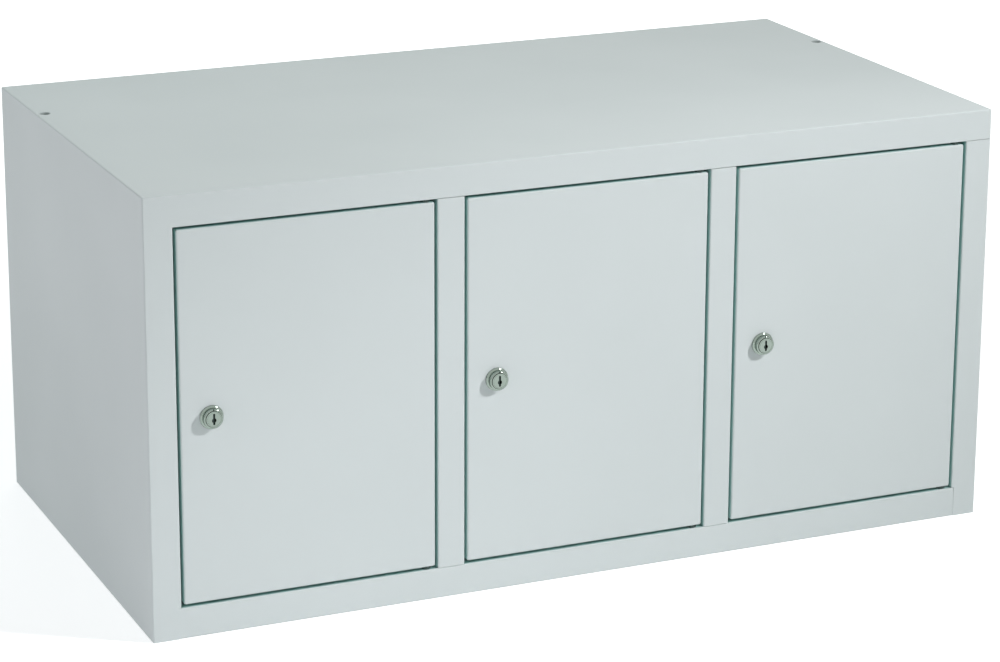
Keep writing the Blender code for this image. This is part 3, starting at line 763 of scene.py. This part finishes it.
def eased(points, steps=4):
    # a profile of (radius, along, easing) with its corners rounded by their easing
    line = []
    for i, (r, a, ease) in enumerate(points):
        here = Vector((r, a))
        if not ease:
            line.append(here)
            continue
        before = (Vector(points[i - 1][:2]) - here).normalized() * ease
        after = (Vector(points[(i + 1) % len(points)][:2]) - here).normalized() * ease
        for k in range(steps + 1):
            s = k / steps
            line.append(here + before * (1 - s) ** 2 + after * s ** 2)
    return line


rowsPerTurn = 6  # rows of faces in each turn of a thread


def lathe(name, points, origin, way, steps, thread=None):
    # turns a closed profile round an axis;
    # a thread is a band (from, to, radius, pitch, depth) of real turns
    line = eased(points)
    if thread:
        start, end, radius, pitch, depth = thread
        rows = int(abs(end - start) / pitch * rowsPerTurn)
        place = next(
            i for i, p in enumerate(line) if abs(p.y - start) < welded and abs(p.x - radius) < welded
        )
        band = [Vector((radius, start + (end - start) * k / rows)) for k in range(1, rows)]
        line = line[:place + 1] + band + line[place + 1:]
    turn = Vector((0, 0, 1)).rotation_difference(Vector(way)).to_matrix()
    bm = bmesh.new()
    rings = []
    for step in range(steps):
        angle = 2 * pi * step / steps
        ring = []
        for p in line:
            r = p.x
            if thread and abs(r - radius) < welded and min(start, end) <= p.y <= max(start, end):
                phase = (p.y / pitch + step / steps) % 1
                fade = min(1, abs(p.y - start) / pitch, abs(p.y - end) / pitch)
                r -= depth * (1 - fade + fade * abs(2 * phase - 1))
            ring.append(bm.verts.new(origin + turn @ Vector((r * cos(angle), r * sin(angle), p.y))))
        rings.append(ring)
    count = len(line)
    for step in range(steps):
        a, b = rings[step], rings[(step + 1) % steps]
        for i in range(count):
            j = (i + 1) % count
            if line[i].x > 0 or line[j].x > 0:
                bm.faces.new((a[i], b[i], b[j], a[j]))
    bmesh.ops.remove_doubles(bm, verts=bm.verts, dist=welded)
    bmesh.ops.recalc_face_normals(bm, faces=bm.faces)
    return newPiece(name, bm)


def plate(name, outline, origin, back, thickness, edge=sheet["edge"]):
    # a flat plate facing the front, with its edges eased
    bm = bmesh.new()
    verts = [bm.verts.new(origin + Vector((x, back, z))) for x, z in outline]
    face = bm.faces.new(verts)
    grown = bmesh.ops.extrude_face_region(bm, geom=[face])["geom"]
    bmesh.ops.translate(
        bm, vec=(0, thickness, 0), verts=[g for g in grown if isinstance(g, bmesh.types.BMVert)]
    )
    bmesh.ops.recalc_face_normals(bm, faces=bm.faces)
    piece = newPiece(name, bm)
    bevel = piece.modifiers.new("edges", "BEVEL")
    bevel.width = edge
    bevel.segments = sheet["edgeSteps"]
    bevel.limit_method = "ANGLE"
    bevel.angle_limit = sheet["edgeAngle"]
    return piece


outwards = (0, -1, 0)
inwards = (0, 1, 0)

lock = {
    "flangeRadius": 12 * mm, "flangeTop": 2.5 * mm,
    "bezelRadius": 10 * mm, "bezelTop": 7.7 * mm,
    # both rims are chamfered, with faces tilted this far back from the plane of the front
    "chamferTilt": radians(34), "flangeChamfer": 1.5 * mm, "bezelChamfer": 1.1 * mm,
    "pocketRadius": 8.3 * mm, "pocketFloor": 5.7 * mm,
    "bore": 7.3 * mm, "barrelRadius": 9 * mm, "barrelEase": 0.5 * mm,
    "threadStart": 1.2 * mm, "threadPitch": 1.5 * mm, "threadDepth": 0.7 * mm,
    "dotRadius": 0.8 * mm, "dotInset": 0.85 * mm, "dotDepth": 1.2 * mm,
    "fillThickness": 0.35 * mm, "fillGap": 0.02 * mm,
    "overrun": 1 * mm,  # how far a cutter passes what it cuts
}


def makeHousing(name, axis, barrelBack):
    # flange, head and threaded barrel, turned from one bar
    k, clear, slope = lock, sheet["clear"], tan(lock["chamferTilt"])
    head, flange, barrel = k["bezelRadius"], k["flangeRadius"], k["barrelRadius"]
    top, ledge = k["bezelTop"], k["flangeTop"]
    start, end = -k["threadStart"], -barrelBack + k["barrelEase"]
    points = [
        (k["bore"], -barrelBack, 0), (k["bore"], k["pocketFloor"], 0.2 * mm),
        (k["pocketRadius"], k["pocketFloor"], 0.1 * mm), (k["pocketRadius"], top, 0.25 * mm),
        (head - k["bezelChamfer"], top, 0.2 * mm), (head, top - k["bezelChamfer"] * slope, 0.3 * mm),
        (head, ledge, 0.35 * mm), (flange - k["flangeChamfer"], ledge, 0.1 * mm),
        (flange, ledge - k["flangeChamfer"] * slope, 0.3 * mm), (flange, clear, 0.15 * mm),
        (barrel, clear, 0), (barrel, start, 0), (barrel, -barrelBack, k["barrelEase"]),
    ]
    housing = lathe(
        name + "LockHousing", points, axis, outwards, rounds["lock"],
        (start, end, barrel, k["threadPitch"], k["threadDepth"]),
    )
    # the index mark at twelve o'clock, a drilled dimple with a dark plastic fill
    mark = axis + Vector((0, -top, head - k["dotInset"]))
    dimple = boreCutter(mark, 0, -k["overrun"], k["dotDepth"], k["dotRadius"], rounds["tiny"])
    dress(settle(housing, [dimple]), "nickel", name + "_door", name + "_lock_housing")
    thick, radius = k["fillThickness"], k["dotRadius"] - k["fillGap"]
    fill = lathe(
        name + "IndexMark", [(0, 0, 0), (radius, 0, 0.1 * mm), (radius, -thick, 0), (0, -thick, 0)],
        mark + Vector((0, k["dotDepth"] - thick, 0)), outwards, rounds["tiny"],
    )
    dress(settle(fill), "nylon", name + "_door")


plug = {
    "faceRadius": 8 * mm, "faceBack": 6.0 * mm, "shaft": 7 * mm, "tang": 8 * mm,
    "ringRadius": 6.6 * mm, "ringWidth": 0.5 * mm, "ringDepth": 0.25 * mm, "ringEase": 0.08 * mm,
}
keyway = {
    "height": 11.5 * mm, "width": 2.2 * mm, "depth": 12 * mm,
    "dropRadius": 2.3 * mm, "drop": 1.2 * mm,
    "endFit": 0.995,  # the round ends are a little narrower than the slot, so that no faces coincide
    "shutterBack": 2.4 * mm, "shutterThickness": 0.8 * mm, "shutterEdge": 0.1 * mm,
    "shutterWidth": 0.96, "shutterHeight": 0.9,  # as shares of the slot
}


def makePlug(name, axis, barrelBack, camBack):
    # the turning core with its keyway
    k, w, over = plug, keyway, lock["overrun"]
    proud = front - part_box(name + "_lock_plug")[0].y
    inner, outer = k["ringRadius"], k["ringRadius"] + k["ringWidth"]
    groove, ease = proud - k["ringDepth"], k["ringEase"]
    points = [
        (0, proud, 0), (inner, proud, ease), (inner, groove, ease), (outer, groove, ease),
        (outer, proud, ease), (k["faceRadius"], proud, 0.35 * mm),
        (k["faceRadius"], k["faceBack"], 0.2 * mm), (k["shaft"], k["faceBack"], 0),
        (k["shaft"], -barrelBack, 0.3 * mm), (0, -barrelBack, 0),
    ]
    core = lathe(name + "LockPlug", points, axis, outwards, rounds["lock"])
    half = k["tang"] / 2
    tang = boxCutter(
        axis + Vector((-half, barrelBack - over, -half)), axis + Vector((half, camBack, half))
    )
    settle(core, [tang], "UNION")
    core.modifiers.clear()

    tall, wide = w["height"] / 2, w["width"] / 2
    ahead, deep, end = -proud - over, w["depth"] - proud, wide * w["endFit"]
    screwHole = camScrew["shank"] + camScrew["fit"]
    cutters = [
        boxCutter(axis + Vector((-wide, ahead, -tall + wide)), axis + Vector((wide, deep, tall - wide))),
        boreCutter(axis, tall - wide, ahead, deep, end, rounds["small"]),
        boreCutter(axis, wide - tall, ahead, deep, end, rounds["small"]),
        boreCutter(axis, -w["drop"], ahead, deep, w["dropRadius"], rounds["fitting"]),
        boreCutter(axis, 0, camBack - camScrew["length"], camBack + over, screwHole, rounds["small"]),
    ]
    dress(settle(core, cutters), "nickel", name + "_lock_core", name + "_lock_plug")

    # a spring shutter closes the keyway behind the face; its dark nylon also stands in for the shade deep
    # in the keyway, as painted shade
    x, z = wide * w["shutterWidth"], tall * w["shutterHeight"]
    shutter = plate(
        name + "DustShutter", [(-x, -z), (x, -z), (x, z), (-x, z)], axis,
        w["shutterBack"] - proud, w["shutterThickness"], w["shutterEdge"],
    )
    dress(settle(shutter), "nylon", name + "_lock_core")


lockNut = {
    "across": 22 * mm, "from": 1.3 * mm, "thickness": 4 * mm, "bore": 9.3 * mm, "boreEase": 0.4 * mm,
    # the chamfered blank that the hexagon is cut from
    "chamfer": 1.0 * mm, "faceShare": 0.97, "oversize": 0.1 * mm,
}


def makeNut(name, axis):
    # a hexagon nut, its corners chamfered both sides
    n = lockNut
    flat, thick = n["across"] / 2, n["thickness"]
    corner = flat / cos(pi / 6)
    face, rim = flat * n["faceShare"], corner + n["oversize"]
    back = -n["from"] - thick
    points = [
        (n["bore"], back, n["boreEase"]), (n["bore"], back + thick, n["boreEase"]),
        (face, back + thick, 0), (rim, back + thick - n["chamfer"], 0),
        (rim, back + n["chamfer"], 0), (face, back, 0),
    ]
    ring = lathe(name + "LockNut", points, axis, outwards, rounds["lock"])
    bm = bmesh.new()
    bmesh.ops.create_cone(bm, cap_ends=True, segments=6, radius1=corner, radius2=corner, depth=thick * 2)
    bmesh.ops.rotate(bm, matrix=Matrix.Rotation(pi / 2, 3, "X"), verts=bm.verts)
    bmesh.ops.translate(bm, vec=axis + Vector((0, n["from"] + thick / 2, 0)), verts=bm.verts)
    hexagon = newPiece("cutter", bm)
    settle(ring, [hexagon], "INTERSECT")
    dress(ring, "zinc", name + "_door", name + "_lock_nut")


cam = {"hub": 9.5 * mm, "tip": 6 * mm, "reach": 31.5 * mm, "hole": 8.6 * mm, "hubSteps": 32, "tipSteps": 16}
camScrew = {
    "head": 5.5 * mm, "headThickness": 2.4 * mm, "crownShare": 0.55, "sideShare": 0.45,
    "shank": 1.9 * mm, "length": 8 * mm, "fit": 0.2 * mm,
    "recess": 1.1 * mm, "recessSpan": 5.6 * mm, "recessDepth": 1.3 * mm,
}


def makeCam(name, axis, camFront, camBack):
    # a pressed steel tongue with a square hole, held by a cross-recess screw
    k, over = cam, lock["overrun"]
    tipX = k["reach"] - k["tip"]
    tilt = acos((k["hub"] - k["tip"]) / tipX)
    outline = []
    for step in range(k["hubSteps"] + 1):
        angle = tilt + (2 * pi - 2 * tilt) * step / k["hubSteps"]
        outline.append((k["hub"] * cos(angle), k["hub"] * sin(angle)))
    for step in range(k["tipSteps"] + 1):
        angle = -tilt + 2 * tilt * step / k["tipSteps"]
        outline.append((tipX + k["tip"] * cos(angle), k["tip"] * sin(angle)))
    tongue = plate(name + "LockCam", outline, axis, camFront, camBack - camFront)
    half = k["hole"] / 2
    hole = boxCutter(
        axis + Vector((-half, camFront - over, -half)), axis + Vector((half, camBack + over, half))
    )
    dress(settle(tongue, [hole]), "zinc", name + "_lock_core", name + "_lock_cam")

    s = camScrew
    origin = axis + Vector((0, camBack + sheet["clear"], 0))
    top = s["headThickness"]
    points = [
        (0, top, 0), (s["head"] * s["crownShare"], top, 1.2 * mm),
        (s["head"], top * s["sideShare"], 0.6 * mm), (s["head"], 0, 0.15 * mm),
        (s["shank"], 0, 0), (s["shank"], -s["length"], 0.3 * mm), (0, -s["length"], 0),
    ]
    screw = lathe(name + "CamScrew", points, origin, inwards, rounds["middle"])
    arms = []
    for x, z in ((s["recessSpan"] / 2, s["recess"] / 2), (s["recess"] / 2, s["recessSpan"] / 2)):
        arms.append(boxCutter(
            origin + Vector((-x, top - s["recessDepth"], -z)), origin + Vector((x, top + over, z))
        ))
    dress(settle(screw, arms), "zinc", name + "_lock_core", name + "_cam_screw")


for doorName in doorNames:
    axisPlace = lockAxes[doorName].copy()
    axisPlace.y = front
    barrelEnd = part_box(doorName + "_lock_housing")[1].y - front
    camLow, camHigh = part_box(doorName + "_lock_cam")
    makeHousing(doorName, axisPlace, barrelEnd)
    makePlug(doorName, axisPlace, barrelEnd, camHigh.y - front)
    makeNut(doorName, axisPlace)
    makeCam(doorName, axisPlace, camLow.y - front, camHigh.y - front)
print("locks turned")


buffer = {
    "head": 4 * mm, "headThickness": 2.4 * mm, "faceShare": 0.5, "dome": 0.1 * mm, "rim": 0.7 * mm,
    "stem": 1.7 * mm, "bulb": 2.8 * mm, "bulbLength": 2.5 * mm, "tipShare": 0.6,
}


def makeBuffers(name):
    # push-in rubber stops on the lip that the door closes against
    b = buffer
    for level in ("lower", "upper"):
        node = f"{name}_{level}_buffer"
        low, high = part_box(node)
        origin = Vector(((low.x + high.x) / 2, low.y, (low.z + high.z) / 2))
        length = high.y - low.y
        neck = length - b["bulbLength"]
        points = [
            (0, 0, 0), (b["head"] * b["faceShare"], b["dome"], 0.8 * mm), (b["head"], b["rim"], 0.7 * mm),
            (b["head"], b["headThickness"], 0.2 * mm), (b["stem"], b["headThickness"], 0.2 * mm),
            (b["stem"], neck, 0.2 * mm), (b["bulb"], neck, 0.4 * mm),
            (b["bulb"] * b["tipShare"], length, 0.6 * mm), (0, length, 0),
        ]
        stop = lathe(f"{name}{level.title()}Buffer", points, origin, inwards, rounds["fitting"])
        dress(settle(stop), "rubber", "case", node)


topPlug = {
    "outer": 5.7 * mm, "inner": 4.9 * mm, "rim": 0.3 * mm, "cup": 3.5 * mm, "wall": 0.8 * mm,
    "lip": 7.0 * mm, "lipTop": 1.3 * mm, "taper": 0.3 * mm,
}


def makeTopPlugs():
    # moulded cups that close the fixing holes in the top
    k = topPlug
    inner, outer, lip, taper = k["inner"], k["outer"], k["lip"], k["taper"]
    floor, low = -k["cup"], -k["cup"] - k["wall"]
    ledge, under = -k["lipTop"], -k["lipTop"] - k["wall"]
    points = [
        (0, floor, 0), (inner - taper, floor, 0.6 * mm), (inner, -k["rim"], 0.25 * mm),
        (outer, -k["rim"], 0.25 * mm), (outer, ledge, 0.1 * mm), (lip, ledge, 0.2 * mm),
        (lip - taper, under, 0.2 * mm), (outer, under, 0), (outer - taper, low, 0.6 * mm), (0, low, 0),
    ]
    for side in ("left", "right"):
        node = side + "_top_plug"
        origin = sum(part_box(node), Vector()) / 2
        origin.z = caseHigh.z
        cup = lathe(side + "TopPlug", points, origin, (0, 0, 1), rounds["cup"])
        dress(settle(cup), "grey_plastic", "case", node)


pin = {
    "shank": 2 * mm, "head": 4 * mm, "headThickness": 1.5 * mm, "headRim": 0.5 * mm, "faceShare": 0.5,
    "tip": 0.6 * mm, "tipShare": 0.6,
}
bush = {"radius": 3.5 * mm, "lip": 4.7 * mm, "bore": 2.3 * mm}


def pivotPlace(node, name, up):
    # where a pivot piece's outer end lies, and how long the piece is
    low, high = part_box(node)
    foot = pivot[name].copy()
    foot.z = low.z if up > 0 else high.z
    return foot, high.z - low.z


def makePivots(name):
    # a shouldered pin in the case and a nylon bush in the door, below and above
    doorLow, doorHigh = doorBoxes[name]
    for level, up, doorEdge in (("lower", 1, doorLow.z), ("upper", -1, doorHigh.z)):
        node = f"{name}_{level}_pivot_pin"
        foot, length = pivotPlace(node, name, up)
        points = [
            (0, 0, 0), (pin["head"] * pin["faceShare"], 0, 0.5 * mm),
            (pin["head"], pin["headRim"], 0.4 * mm), (pin["head"], pin["headThickness"], 0.15 * mm),
            (pin["shank"], pin["headThickness"], 0.1 * mm), (pin["shank"], length - pin["tip"], 0.3 * mm),
            (pin["shank"] * pin["tipShare"], length, 0.2 * mm), (0, length, 0),
        ]
        stud = lathe(f"{name}{level.title()}PivotPin", points, foot, (0, 0, up), rounds["fitting"])
        dress(settle(stud), "zinc", "case", node)

        node = f"{name}_{level}_pivot_bush"
        foot, length = pivotPlace(node, name, up)
        shoulder = abs(doorEdge - foot.z) - sheet["clear"]
        points = [
            (bush["bore"], 0, 0.3 * mm), (bush["lip"], 0, 0.4 * mm), (bush["lip"], shoulder, 0.15 * mm),
            (bush["radius"], shoulder, 0), (bush["radius"], length, 0.4 * mm),
            (bush["bore"], length, 0.2 * mm),
        ]
        sleeve = lathe(f"{name}{level.title()}PivotBush", points, foot, (0, 0, up), rounds["fitting"])
        dress(settle(sleeve), "nylon", name + "_door", node)


makeTopPlugs()
for doorName in doorNames:
    makeBuffers(doorName)
    makePivots(doorName)
print("fittings in place")
